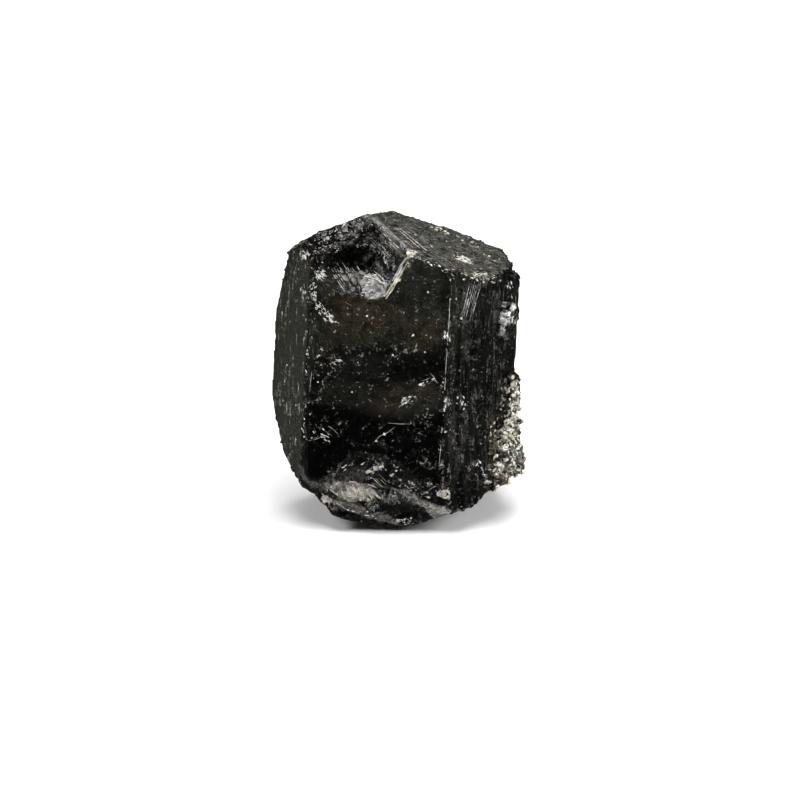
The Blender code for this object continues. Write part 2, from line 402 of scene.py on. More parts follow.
def scar_share(points, normals):
    """1 where a point lies on one of the scars, 0 elsewhere."""
    share = np.zeros(len(points))
    for middle, half_sizes, turn in SCARS.values():
        angle = math.radians(turn)
        cosine, sine = math.cos(angle), math.sin(angle)
        rotation = np.array(((cosine, -sine, 0), (sine, cosine, 0), (0, 0, 1)))
        scaled = (points - middle) @ rotation / half_sizes
        away = np.abs(np.linalg.norm(scaled, axis=1) - 1) * np.mean(half_sizes)
        outward = scaled / half_sizes
        outward /= np.linalg.norm(outward, axis=1)[:, None] + 1e-9
        facing = -np.einsum("ij,ij->i", outward @ rotation.T, normals)
        share = np.maximum(share, (1 - ramp(away, 0.55, 0.75)) * ramp(facing, 0.75, 0.9))
    return share


def store(mesh, **shares):
    """Writes shares from 0 to 1 on the mesh, for its material to read by name."""
    for name, values in shares.items():
        attribute = mesh.attributes.new(name, "FLOAT", "POINT")
        attribute.data.foreach_set("value", np.clip(values, 0, 1).astype(np.float32))


def place_piece(name, mesh, material, node=None):
    """Adds a mesh to the scene as a piece of the part."""
    piece = bpy.data.objects.new(name, mesh)
    bpy.context.scene.collection.objects.link(piece)
    mesh.materials.append(material)
    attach(piece, "root")
    if node:
        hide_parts(node)
    return piece


# ---------------------------------------------------------------- the crystal

def streak_relief(seen, facing):
    """Height and paleness of the streaks that run one way in small areas."""
    height = np.zeros(len(seen))
    share = np.zeros(len(seen))
    for i, (start, way, area, spacing, rise, paleness) in enumerate(STREAKS.values()):
        way = np.array(way) / np.hypot(*way)
        along = (seen - start) @ way
        across = (seen - start) @ np.array((-way[1], way[0]))
        wander = 2.0 * cloud(seen, 25.0, 2, 40 + i)
        wave = cloud(np.stack(((across + wander) / spacing, along / spacing / 6), axis=1), 1.0, 2, 50 + i)
        inside = inside_area(seen, area) * facing
        height += inside * wave * rise
        # pale crests: partly pale stone, partly painted light
        share = np.maximum(share, inside * paleness * ramp(wave, 0.1, 0.35))
    return height, share


def dent_relief(seen, facing):
    """Height of the parts that are pressed in or stand out."""
    height = sum(depth * inside_area(seen, area, 0.3) for area, depth in DENTS)
    (x, y), (half_width, half_height), width, rise = ARCH
    reach = np.hypot((seen[:, 0] - x) / half_width, (seen[:, 1] - y) / half_height)
    ring = 1 - ramp(np.abs(reach - 1) * half_width, width * 0.3, width)
    height += rise * ring * (seen[:, 1] < y) * (seen[:, 0] > x - 14)
    return height * facing


def cleave(points, tree):
    """Flattens the cleaved facets. Returns the points, the facets' share and how pale they are."""
    points = points.copy()
    seen = image_of(points)
    seen += 1.2 * np.stack((cloud(points, 1.2, 2, 11), cloud(points, 1.2, 2, 12)), axis=1)
    cover, tone = np.zeros(len(points)), np.zeros(len(points))
    for paleness, facing, outline in CLEAVAGES:
        middle, _ = under(tree, *np.mean(outline, axis=0))
        near = 1 - ramp(np.linalg.norm(points - middle, axis=1), 6.0, 7.0)
        share = inside_outline(seen, outline, CLEAVAGE_SOFTNESS) * near
        if facing:
            normal = Vector(facing).normalized()
            points -= np.outer(((points - middle) @ normal) * share, normal)
        cover = np.maximum(cover, share)
        # paleness by facet: painted shade, painted highlight or pale stone
        tone += (paleness - tone) * share
    return points, cover, tone


def shatter(points, size):
    """Height over small flat facets that meet in edges, as broken stone has."""
    height = np.empty(len(points))
    for i, point in enumerate(points):
        place = Vector(point) / size
        place += noise.noise_vector(place * 0.9) * 0.35
        _, centres = noise.voronoi(place)
        chance = noise.cell_vector(centres[0] * CELL_SHUFFLE)
        height[i] = (place - centres[0]).dot(chance * 2 - Vector((1, 1, 1))) + 0.5 * (chance.x - 0.5)
    return height


def kinds_of_surface(points, normals, scar):
    """The share of each kind of surface at each point."""
    x, y, _ = points.T
    side = (1 - ramp(np.abs(normals[:, 2]), 0.12, 0.3)) * (1 - scar)
    front = side * ramp(-normals[:, 1], 0.93, 0.975) * (x < FRONT_END)
    left = side * ramp(-normals[:, 0], 0.75, 0.85) * (y < LEFT_END)
    top = ramp(normals[:, 2], 0.75, 0.9) * (1 - scar)
    striated = side * (1 - front) * (1 - left)
    broken = np.clip(1 - side - top, 0, 1)
    return {"front": front, "left": left, "striated": striated, "top": top, "broken": broken}


def column_pattern(points):
    """The upright columns that the sides are made of. Their middles are highest."""
    x, y, z = points.T
    around = MEAN_RADIUS * np.arctan2(y, x - AXIS_LEAN * (z - LEAN_PIVOT))
    columns = 0.5 - np.abs(cloud(np.stack((around / COLUMN_WIDTH, z / 45), axis=1), 1.0, 1, 1)) * 1.8
    grooves = cloud(np.stack((around / GROOVE_WIDTH, z / 14), axis=1), 1.0, 1, 2)
    return columns, COLUMN_DEPTH * columns + GROOVE_DEPTH * grooves - 0.10


def fine_relief(points, kinds, bare, grooves):
    """Height of the relief that each kind of surface has all over."""
    x, y, _ = points.T
    rough = cloud(points, 1.1, 3, 4)
    slant = np.stack(((x * 0.94 + y * 0.33) / 0.5, (y * 0.94 - x * 0.33) / 4.0), axis=1)
    patterns = {
        "grooves": grooves,
        "swell": cloud(points, 3.5, 3, 3),
        "rough": rough,
        "grain": cloud(points, 0.55, 1, 5),
        "pits": np.minimum(0, 0.25 - rough),
        "rays": cloud(slant, 1.0, 2, 6),
    }
    relief = np.zeros(len(points))
    for kind, parts in RELIEF.items():
        relief += kinds[kind] * sum(depth * patterns[name] for name, depth in parts.items())
    shattered = kinds["broken"] > 0.02
    share = (kinds["broken"] * (1 - 0.7 * bare))[shattered]
    for i, (size, depth) in enumerate(SHATTER):
        relief[shattered] += share * depth * shatter(points[shattered] + 50 * i, size)
    return relief


def make_crystal():
    mesh = fine_copy("tourmaline_crystal", "tourmaline_surface", CRYSTAL_VOXEL)
    points, normals = coordinates(mesh), point_normals(mesh)
    away = distance_to(points, crease_line("tourmaline_crystal"))
    scar = scar_share(points, normals)
    points = smoothed(mesh, points, SCAR_SMOOTHING, 1 - scar * ramp(away, 0.1, 0.7))
    points = smoothed(mesh, points, EDGE_SMOOTHING, np.zeros(len(points)))
    set_coordinates(mesh, points)
    points, bare, tone = cleave(points, tree_of(mesh))
    set_coordinates(mesh, points)
    normals = point_normals(mesh)

    seen = image_of(points)
    facing = ramp(normals @ BACK, 0.02, 0.15) * (points[:, 1] < 8)
    kinds = kinds_of_surface(points, normals, scar)
    columns, grooves = column_pattern(points)
    streak_height, streak = streak_relief(seen, facing)
    relief = fine_relief(points, kinds, bare, grooves) + streak_height + dent_relief(seen, facing)
    chipping = ramp(cloud(points, 1.6, 3, 7), 0.0, 0.5)
    relief -= CHIP_DEPTH * chipping * (1 - ramp(away, 0.0, CHIP_REACH))
    relief *= ramp(points[:, 2], 0.02, FOOT_HEIGHT)
    low, high = (np.array(corner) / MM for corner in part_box("tourmaline_crystal"))
    set_coordinates(mesh, np.clip(points + normals * relief[:, None], low, high))

    # edges paled near creases: partly wear, partly a painted glint along them
    worn = (1 - ramp(away, 0.1, 0.45)) * ramp(cloud(points, 1.0, 2, 8), -0.1, 0.4)
    store(mesh, **{kind: kinds[kind] for kind in ("left", "striated", "top", "broken")})
    store(mesh, worn=worn, streak=streak, ridge=ramp(columns, -0.1, 0.45), bare=bare * facing, tone=tone)
    store(mesh, **{name: inside_areas(seen, areas) * facing for name, areas in SHADED_AREAS.items()})
    mesh.shade_smooth()
    place_piece("tourmaline_surface", mesh, tourmaline_material(), "tourmaline_crystal")
    return mesh


# ---------------------------------------------------------------- materials

class Graph:
    """Adds nodes to a shader tree, with inputs given as numbers or as other nodes' outputs."""

    def __init__(self, tree):
        self.tree = tree

    def add(self, kind, inputs=None, **settings):
        node = self.tree.nodes.new("ShaderNode" + kind)
        for key, value in settings.items():
            setattr(node, key, value)
        for key, value in (inputs or {}).items():
            self.feed(node.inputs[key], value)
        return node

    def feed(self, socket, value):
        if isinstance(value, bpy.types.NodeSocket):
            self.tree.links.new(value, socket)
        else:
            socket.default_value = value

    def calc(self, operation, first, second=0.5):
        return self.add("Math", {0: first, 1: second}, operation=operation).outputs[0]

    def product(self, first, *others):
        for other in others:
            first = self.calc("MULTIPLY", first, other)
        return first

    def most(self, first, *others):
        for other in others:
            first = self.calc("MAXIMUM", first, other)
        return first

    def total(self, first, *others):
        for other in others:
            first = self.calc("ADD", first, other)
        return first

    def invert(self, value):
        return self.calc("SUBTRACT", 1.0, value)

    def between(self, value, low, high, start=0.0, end=1.0):
        """The start value below low and the end value above high, smooth between."""
        inputs = {"Value": value, "From Min": low, "From Max": high, "To Min": start, "To Max": end}
        return self.add("MapRange", inputs, interpolation_type="SMOOTHSTEP").outputs["Result"]

    def share(self, name):
        """A share stored on the mesh."""
        return self.add("Attribute", attribute_name=name).outputs["Fac"]

    def vector(self, operation, first, second):
        return self.add("VectorMath", {0: first, 1: second}, operation=operation).outputs[0]

    def scaled(self, vector, factor):
        return self.add("VectorMath", {0: vector, "Scale": factor}, operation="SCALE").outputs[0]

    def dot(self, first, second):
        return self.add("VectorMath", {0: first, 1: second}, operation="DOT_PRODUCT").outputs["Value"]

    def place(self, stretch=(1, 1, 1)):
        """Object coordinates in millimetres, times a factor along each axis."""
        place = self.add("TexCoord").outputs["Object"]
        scale = tuple(factor / MM for factor in stretch)
        return self.add("Mapping", {"Vector": place, "Scale": scale}).outputs["Vector"]

    def noise(self, vector, scale, detail=3.0, roughness=0.55, distortion=0.0):
        inputs = {"Vector": vector, "Scale": scale, "Detail": detail, "Roughness": roughness}
        return self.add("TexNoise", {**inputs, "Distortion": distortion}).outputs["Fac"]

    def mix(self, factor, first, second):
        node = self.add("Mix", data_type="RGBA")
        for socket, value in zip((node.inputs[0], node.inputs[6], node.inputs[7]), (factor, first, second)):
            self.feed(socket, (*value, 1.0) if isinstance(value, tuple) else value)
        return node.outputs[2]

    def hairs(self, vector, scale, width, amount):
        """Short curved lines: the level lines of a noise, kept only in places."""
        level = self.calc("SUBTRACT", self.noise(vector, scale, 1.0, 0.5, 0.6), 0.5)
        line = self.invert(self.between(self.calc("ABSOLUTE", level), width * 0.5, width))
        return self.product(line, self.between(self.noise(vector, scale * 1.7, 2.0), amount, amount + 0.06))

    def warp(self, vector, scale, reach):
        """A place moved a little to and fro, so that what is drawn there bends."""
        shift = self.add("TexNoise", {"Vector": vector, "Scale": scale, "Detail": 2.0}).outputs["Color"]
        shift = self.scaled(self.vector("SUBTRACT", shift, (0.5, 0.5, 0.5)), reach)
        return self.vector("ADD", vector, shift)

    def mosaic(self, vector, scale):
        """A random value for each cell of a mosaic, and the height of a tilted flat facet in each."""
        vector = self.scaled(vector, scale)
        cell = self.add("TexVoronoi", {"Vector": vector, "Scale": 1.0}, feature="F1")
        chance = self.add("SeparateColor", {"Color": cell.outputs["Color"]}).outputs[0]
        away = self.vector("SUBTRACT", vector, cell.outputs["Position"])
        facing = self.vector("SUBTRACT", cell.outputs["Color"], (0.5, 0.5, 0.5))
        return chance, self.dot(away, facing)

    def bump(self, strength, distance, height):
        inputs = {"Strength": strength, "Distance": distance * MM, "Height": height}
        return self.add("Bump", inputs).outputs["Normal"]


def new_material(name):
    material = bpy.data.materials.new(name)
    material.use_nodes = True
    return material, Graph(material.node_tree), material.node_tree.nodes["Principled BSDF"]


# Shares that the crystal's mesh carries for its material.
STONE_SHARES = (
    "left", "striated", "top", "broken", "worn", "streak", "ridge", "bare", "tone", *SHADED_AREAS,
)
STONE = {
    "black": (0.0005, 0.0005, 0.0005),
    "dark": (0.0040, 0.0040, 0.0034),
    # the colours of the painted sheen on the front face
    "sheen_olive": (0.019, 0.020, 0.015),
    "brown": (0.030, 0.022, 0.013),
    # painted light: the left face's grey-green, where the lamps light it
    "left": (0.021, 0.022, 0.016),
    "striated": (0.012, 0.0123, 0.0105),
    # painted light: the top's grey, the sheen of the light from above
    "top": (0.16, 0.158, 0.135),
    "broken": (0.045, 0.044, 0.038),
    # painted shade, near black
    "deep": (0.0006, 0.0006, 0.0006),
    # the cleaved facets' colours: black for painted shade, white for a painted highlight or pale stone, mixed
    # by their paleness
    "cleaved_black": (0.0008, 0.0008, 0.0008),
    "cleaved_white": (0.95, 0.92, 0.84),
    # the pale marks: hairs, dashes and bruises, and painted glints
    "marks": (0.60, 0.58, 0.52),
}
GREY_GRAIN = (0.17, 0.175, 0.165)
WHITE_GRAIN = (0.90, 0.89, 0.84)
# near black of the grains' gaps: painted shade in crevices and hollows, bare dark stone where it shows
GAP = (0.006, 0.006, 0.005)


def stone_patterns(g):
    """The patterns that the crystal's colour, marks and bump are made from."""
    place = g.place()
    bent = g.warp(place, 1.3, 0.7)
    chance, facet = g.mosaic(bent, 4.5)
    wide_chance, wide_facet = g.mosaic(bent, 1.5)
    long_chance, long_facet = g.mosaic(g.warp(g.place((5.0, 5.0, 0.55)), 0.6, 0.5), 1.0)
    return SimpleNamespace(
        place=place, bent=bent, chance=chance, facet=facet, wide_chance=wide_chance, wide_facet=wide_facet,
        long_chance=long_chance, long_facet=long_facet,
        mixed=g.total(g.product(chance, 0.6), g.product(wide_chance, 0.4)),
        blotches=g.noise(place, 0.7, 5, 0.65, 0.4),
        fine=g.noise(place, 2.6, 5, 0.7, 0.3),
        stripes=g.noise(g.place((3.6, 3.6, 0.16)), 1.0, 4, 0.65, 0.1),
        slant=g.noise(g.place((0.8, 3.0, 3.0)), 1.0, 5, 0.7, 0.5),
    )


def stone_colour(g, share, pattern):
    """The crystal's colour without its marks, with painted sheen, painted shade and painted highlights in it.
    """
    mixed, fine, blotches = pattern.mixed, pattern.fine, pattern.blotches
    brown = g.product(share.brown, g.between(blotches, 0.3, 0.6, 0.5, 1.0))
    haze = g.total(g.product(mixed, 0.6), g.product(blotches, 0.8))
    stripes = g.product(g.between(pattern.stripes, 0.53, 0.62), g.between(pattern.long_chance, 0.2, 0.8))
    # the painted sheen of reflected light on the front face
    cloudy = g.product(share.cloudy, g.between(haze, 0.35, 1.05, 0.25, 1.5))
    # the left face painted lighter, as the lamps light it
    left = g.product(share.left, g.between(fine, 0.3, 0.7, 0.45, 1.0))
    striated = g.product(share.striated, stripes, g.between(share.ridge, 0.0, 0.9))
    # the top painted grey, as the light from above falls on it, in streaks and mottles
    top = g.product(share.top, g.between(pattern.slant, 0.40, 0.62), g.between(mixed, 0.1, 0.8))
    broken = g.product(share.broken, g.between(mixed, 0.55, 0.85), g.between(fine, 0.4, 0.6))
    tone = g.product(share.tone, g.between(mixed, 0.2, 0.8, 0.35, 1.5), g.between(fine, 0.35, 0.65, 0.6, 1.3))
    colour = g.mix(g.between(mixed, 0.35, 0.9), STONE["black"], STONE["dark"])
    colour = g.mix(cloudy, colour, g.mix(brown, STONE["sheen_olive"], STONE["brown"]))
    colour = g.mix(left, colour, STONE["left"])
    colour = g.mix(striated, colour, STONE["striated"])
    colour = g.mix(top, colour, STONE["top"])
    colour = g.mix(broken, colour, STONE["broken"])
    # painted shade
    colour = g.mix(g.product(share.deep, 0.96), colour, STONE["deep"])
    # cleaved facets by their paleness: painted shade, a painted highlight on the hollow's floor, pale stone
    # at the foot
    return g.mix(share.bare, colour, g.mix(tone, STONE["cleaved_black"], STONE["cleaved_white"]))


def stone_marks(g, share, pattern):
    """The crystal's pale hairs, dashes and streaks, its painted glints, and its worn edges and bruises, which
    are partly pale stone and partly painted glints.
    """
    mixed, fine, blotches, chance = pattern.mixed, pattern.fine, pattern.blotches, pattern.chance
    wide_chance, long_chance = pattern.wide_chance, pattern.long_chance
    sparse = g.between(blotches, 0.42, 0.62)
    hairs = g.most(g.hairs(pattern.place, 0.7, 0.010, 0.60), g.hairs(pattern.bent, 1.5, 0.018, 0.60))
    dim = g.product(g.between(chance, 0.72, 0.80), g.between(wide_chance, 0.35, 0.75), sparse)
    long_dim = g.product(g.between(long_chance, 0.78, 0.90), g.between(chance, 0.3, 0.8), 0.3)
    dim_share = g.most(
        g.product(share.speckled, 0.28), g.product(share.broken, 0.22), g.product(share.striated, 0.08)
    )
    # painted glints: rare bright dots
    bright = g.product(g.between(chance, 0.93, 0.95), g.between(wide_chance, 0.55, 0.65), sparse)
    bright_share = g.most(share.speckled, share.broken, g.product(share.top, 0.6), 0.35)
    dashes = g.product(g.between(long_chance, 0.93, 0.96), g.between(fine, 0.45, 0.60))
    left_dashes = g.product(share.left, g.between(blotches, 0.38, 0.62, 0.15, 0.9))
    streaks = g.product(g.between(fine, 0.40, 0.52, 0.3, 1.0), g.between(chance, 0.1, 0.6, 0.4, 1.0))
    # pale edges: partly wear, partly a painted glint
    worn = g.product(g.between(mixed, 0.50, 0.75), g.between(share.striated, 0.0, 1.0, 0.4, 0.08))
    # bruises over the pale areas, partly crushed pale stone and partly painted glints
    ragged = g.calc("SUBTRACT", g.total(share.pale, g.product(mixed, 0.9)), 0.45)
    bruise_and_glint = g.product(g.between(ragged, 0.50, 0.62), g.between(share.pale, 0.05, 0.4))
    marks = g.most(
        g.product(hairs, g.between(blotches, 0.4, 0.6), 0.30),
        g.product(g.mix(share.striated, dim, long_dim), dim_share),
        g.product(bright, bright_share),
        g.product(dashes, g.most(g.product(share.striated, 0.15), left_dashes)),
        g.product(share.streak, streaks),
        g.product(share.worn, worn),
        g.product(bruise_and_glint, g.between(chance, 0.1, 0.8, 0.35, 1.0)),
    )
    # marks fade where shade is painted and on the cleaved facets
    clear = g.total(share.deep, g.product(share.bare, 0.8))
    return g.product(marks, g.between(clear, 0.0, 1.0, 1.0, 0.35))


def stone_height(g, share, pattern, marks):
    """The height that the crystal's bump is made from."""
    rough = g.most(share.top, share.broken)
    smooth = g.between(share.bare, 0.0, 1.0, 1.0, 0.25)
    facets = g.total(pattern.facet, g.product(pattern.wide_facet, 1.6))
    return g.total(
        g.product(pattern.fine, g.between(rough, 0.0, 1.0, 0.2, 0.9)),
        g.product(pattern.stripes, g.most(share.striated, share.left), 1.2),
        g.product(marks, 0.2),
        g.product(facets, g.most(g.product(rough, smooth), g.product(share.speckled, 0.4), 0.12)),
        g.product(pattern.long_facet, share.striated, 0.4),
    )


def tourmaline_material():
    material, g, shader = new_material("tourmaline")
    share = SimpleNamespace(**{name: g.share(name) for name in STONE_SHARES})
    pattern = stone_patterns(g)
    marks = stone_marks(g, share, pattern)
    gloss = g.between(g.noise(pattern.place, 0.7, 4), 0.35, 0.65, 0.06, 0.2)
    gloss = g.total(gloss, g.product(share.left, 0.16), g.product(share.top, 0.10), g.product(marks, 0.30))
    g.feed(shader.inputs["Base Color"], g.mix(marks, stone_colour(g, share, pattern), STONE["marks"]))
    g.feed(shader.inputs["Roughness"], gloss)
    g.feed(shader.inputs["Normal"], g.bump(0.7, 0.10, stone_height(g, share, pattern, marks)))
    shader.inputs["IOR"].default_value = 1.64
    return material


def growth_material(name, dark, middle, light, stain):
    """Cleaved grains of several tones with dark gaps between them, where shade is painted. The stain tints
    the lowest ones.
    """
    material, g, shader = new_material(name)
    place = g.place()
    bent = g.warp(place, 1.0, 0.6)
    chance, facet = g.mosaic(bent, 4.0)
    wide_chance, wide_facet = g.mosaic(bent, 1.4)
    fine = g.noise(place, 3.0, 4, 0.7)
    tone = g.total(g.product(chance, 0.40), g.product(wide_chance, 0.45), g.product(g.share("grain"), 0.15))
    tone = g.total(tone, g.product(g.share("bright"), 0.22))
    colour = g.mix(g.between(tone, 0.38, 0.50), dark, middle)
    colour = g.mix(g.between(tone, 0.54, 0.62), colour, light)
    colour = g.mix(g.product(g.share("low"), g.between(wide_chance, 0.2, 0.5), 0.85), colour, stain)
    colour = g.mix(g.product(g.share("grey"), g.between(tone, 0.2, 0.5)), colour, GREY_GRAIN)
    colour = g.mix(g.between(tone, 0.66, 0.74), colour, WHITE_GRAIN)
    # painted shade: near black in random hollows and in the crevices between grains
    hollows = g.between(g.noise(place, 0.9, 4, 0.65), 0.44, 0.38)
    gaps = g.most(g.product(g.share("crevice"), 0.8), g.between(fine, 0.46, 0.36), hollows)
    gaps = g.most(gaps, g.product(g.share("bare"), g.between(tone, 1.0, 0.75)))
    height = g.total(fine, facet, g.product(wide_facet, 1.5))
    g.feed(shader.inputs["Base Color"], g.mix(g.product(gaps, 0.95), colour, GAP))
    g.feed(shader.inputs["Roughness"], g.between(fine, 0.35, 0.65, 0.15, 0.45))
    g.feed(shader.inputs["Normal"], g.bump(0.8, 0.14, height))
    return material


def flake_material(name, light, shade, roughness):
    """Pale cleaved mineral with fine parallel lines."""
    material, g, shader = new_material(name)
    tone = g.noise(g.place(), 1.6, 4, 0.65)
    layers = g.noise(g.place((1.5, 1.5, 7)), 1.0, 2)
    g.feed(shader.inputs["Base Color"], g.mix(g.between(tone, 0.35, 0.65), shade, light))
    g.feed(shader.inputs["Roughness"], g.between(tone, 0.3, 0.7, roughness, roughness + 0.2))
    g.feed(shader.inputs["Normal"], g.bump(0.5, 0.05, g.total(layers, tone)))
    return material


# ---------------------------------------------------------------- what has grown on the crystal

def grain_relief(points, size):
    """Height over cleaved grains, a random value for each grain, and how far it is to a grain's edge."""
    grain, border, tilt = np.empty(len(points)), np.empty(len(points)), np.empty(len(points))
    for i, point in enumerate(points):
        place = Vector(point) / size
        distances, centres = noise.voronoi(place)
        chance = noise.cell_vector(centres[0] * CELL_SHUFFLE)
        border[i] = distances[1] - distances[0]
        grain[i] = chance.x
        tilt[i] = (place - centres[0]).dot(chance * 2 - Vector((1, 1, 1)))
    relief = size * (0.34 * (grain - 0.6) + 0.48 * tilt + 0.08 * ramp(border, 0.0, 0.1) - 0.2)
    return relief + 0.08 * cloud(points, 0.5, 2, 21), grain, border


def close_up(points, normals, crystal_tree):
    """Draws the side that faces the crystal into it, across the gap between the solids."""
    for i, point in enumerate(points):
        nearest, outward, _, gap = crystal_tree.find_nearest(Vector(point))
        above = (Vector(point) - nearest).dot(outward) > 0
        if gap < JOINT_REACH and above and normals[i] @ outward < -0.5:
            points[i] = nearest - outward * JOINT_DEPTH
    return points


def make_growth(node, name, material, grain_size, crystal_tree):
    """Blocky grains of different heights, closed up against the crystal."""
    mesh = fine_copy(node, name, GROWTH_VOXEL)
    points, normals = coordinates(mesh), point_normals(mesh)
    points = smoothed(mesh, points, GROWTH_SMOOTHING, np.zeros(len(points)))
    low, high = (np.array(corner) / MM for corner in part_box(node))
    relief, grain, border = grain_relief(points, grain_size)
    points = close_up(points + normals * relief[:, None], normals, crystal_tree)
    set_coordinates(mesh, np.clip(points, low - JOINT_GAP, high))
    seen = image_of(points)
    store(mesh, grain=grain, crevice=1 - ramp(border, 0.0, 0.14))
    store(mesh, low=ramp((points[:, 2] - low[2]) / (high[2] - low[2]), 0.46, 0.16))
    store(mesh, **{share: inside_areas(seen, areas) for share, areas in GRAIN_AREAS.items()})
    mesh.shade_smooth()
    mesh.set_sharp_from_angle(angle=math.radians(28))
    place_piece(name, mesh, material, node)
    return mesh


# ---------------------------------------------------------------- small pieces laid on the surface

def tree_of(mesh):
    """A search tree of a mesh, in millimetres."""
    faces = [tuple(face.vertices) for face in mesh.polygons]
    return BVHTree.FromPolygons([Vector(point) for point in coordinates(mesh)], faces)


def under(tree, x, y):
    """The place on the surface that is seen at a place in the image, and the way the surface faces there."""
    start, way = ray_through(x, y)
    place, normal, _, _ = tree.ray_cast(Vector(start), Vector(way))
    return place, normal


def well_inside(tree, x, y, margin=2):
    """Whether the surface is seen all around a place, so that nothing laid there sticks out past it."""
    around = ((0, 0), (margin, 0), (-margin, 0), (0, margin), (0, -margin))
    return all(under(tree, x + dx, y + dy)[0] is not None for dx, dy in around)


def hidden(tree, place, normal):
    """Whether a place faces away from the camera and doesn't lie on the outline."""
    x, y = image_of(np.array([place]))[0]
    return normal @ Vector(BACK) < -0.25 and well_inside(tree, x, y, 5)


def any_way(draw, reach=1.0):
    return Vector([draw.uniform(-reach, reach) for _ in range(3)])


def add_flake(bm, place, normal, way, length, width, thickness, draw):
    """An irregular thin plate that lies on a surface with its lower side sunk in it."""
    normal = (normal + any_way(draw, 0.35)).normalized()
    across = normal.cross(way).normalized()
    way = across.cross(normal)
    count = draw.randint(5, 8)
    low, high = [], []
    for i in range(count):
        turn = 2 * math.pi * (i + draw.uniform(-0.3, 0.3)) / count
        reach = draw.uniform(0.65, 1.15) / 2
        corner = way * math.cos(turn) * length * reach + across * math.sin(turn) * width * reach
        rise = normal * thickness * draw.uniform(0.3, 1.0)
        low.append(bm.verts.new((place + corner - normal * (thickness + SINK)) * MM))
        high.append(bm.verts.new((place + corner * 0.78 + rise) * MM))
    bm.faces.new(high)
    bm.faces.new(low[::-1])
    for i in range(count):
        j = (i + 1) % count
        bm.faces.new((low[i], low[j], high[j], high[i]))


def flakes_along(bm, tree, path, count, spread, sizes, rng):
    """Flakes strewn along a line of the image, pointing more or less along it."""
    for _ in range(count):
        draw = random.Random(rng.random())
        k = draw.randrange(len(path) - 1)
        share = draw.random()
        (x0, y0), (x1, y1) = path[k], path[k + 1]
        x = x0 + (x1 - x0) * share + draw.gauss(0, spread)
        y = y0 + (y1 - y0) * share + draw.gauss(0, spread)
        if not well_inside(tree, x, y):
            continue
        place, normal = under(tree, x, y)
        way = Vector(RIGHT * (x1 - x0) - UP * (y1 - y0)).normalized() + any_way(draw, 0.4)
        length = draw.uniform(*sizes)
        add_flake(bm, place, normal, way, length, length * draw.uniform(0.15, 0.5), 0.04, draw)


def flakes_in(bm, tree, area, count, sizes, rng):
    """Flakes strewn over a tilted ellipse of the image, pointing any way."""
    x, y, half_width, half_height, tilt = area
    turn = math.radians(tilt)
    for _ in range(count):
        draw = random.Random(rng.random())
        angle, reach = draw.uniform(0, 2 * math.pi), math.sqrt(draw.random())
        across, down = half_width * reach * math.cos(angle), half_height * reach * math.sin(angle)
        dx = across * math.cos(turn) - down * math.sin(turn)
        dy = across * math.sin(turn) + down * math.cos(turn)
        if not well_inside(tree, x + dx, y + dy):
            continue
        place, normal = under(tree, x + dx, y + dy)
        way, length = any_way(draw), draw.uniform(*sizes)
        add_flake(bm, place, normal, way, length, length * draw.uniform(0.4, 0.9), 0.05, draw)


def flakes_on(bm, tree, node, count, sizes, rng, wanted=None):
    """Flakes strewn over a surface, each where it is nearest to a random place in the box of its node."""
    low, high = (np.array(corner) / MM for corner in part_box(node))
    for _ in range(count):
        draw = random.Random(rng.random())
        start = Vector([draw.uniform(*ends) for ends in zip(low, high)])
        place, normal, _, _ = tree.find_nearest(start)
        if wanted and not wanted(tree, place, normal):
            continue
        way, length = any_way(draw), draw.uniform(*sizes)
        add_flake(bm, place, normal, way, length, length * draw.uniform(0.4, 0.9), 0.06, draw)


def lay_strip(bm, tree, path, widths, thickness):
    """A thin strip laid on the surface along a line of the image."""
    spots = [under(tree, x, y) for x, y in path]
    facing = sum((normal for _, normal in spots), Vector()).normalized()
    rings = []
    for i, ((place, _), width) in enumerate(zip(spots, widths)):
        before, after = spots[max(i - 1, 0)][0], spots[min(i + 1, len(spots) - 1)][0]
        side = facing.cross(after - before).normalized() * width / 2
        corners = (
            side - facing * 0.1, side * 0.6 + facing * thickness,
            -side * 0.6 + facing * thickness * 0.7, -side - facing * 0.1,
        )
        rings.append([bm.verts.new((place + corner) * MM) for corner in corners])
    for first, second in zip(rings, rings[1:]):
        for i in range(4):
            bm.faces.new((first[i], first[i - 1], second[i - 1], second[i]))
    bm.faces.new(rings[0])
    bm.faces.new(rings[-1][::-1])


def strips_between(bm, tree, first, last, count, rng):
    """Fine strips side by side, from the first line to the last."""
    for i in range(count):
        share = (i + rng.uniform(-0.4, 0.4)) / (count - 1)
        start, end = (np.array(a) * (1 - share) + np.array(b) * share for a, b in zip(first, last))
        low, high = rng.uniform(0.0, 0.4), rng.uniform(0.6, 1.0)
        path = [start + (end - start) * (low + (high - low) * step / 5) for step in range(6)]
        lay_strip(bm, tree, path, tapered(rng.uniform(0.03, 0.09), len(path)), FINE)


def tapered(width, count):
    """Widths of a strip that is thin at both ends."""
    return (width * 0.3,) + (width,) * (count - 2) + (width * 0.3,)


def finish_flakes(name, bm, material):
    """Makes a piece of all flakes and strips so far, kept inside the box of the solids."""
    low, high = (np.array(corner) for corner in CAD_BOX)
    for vert in bm.verts:
        vert.co = np.clip(vert.co, low, high)
    bmesh.ops.recalc_face_normals(bm, faces=bm.faces)
    mesh = bpy.data.meshes.new(name)
    bm.to_mesh(mesh)
    bm.free()
    place_piece(name, mesh, material)


FINE = 0.012  # how far scratches and fine lines stand out
SINK = 0.04  # how much deeper than it is thick a flake is sunk
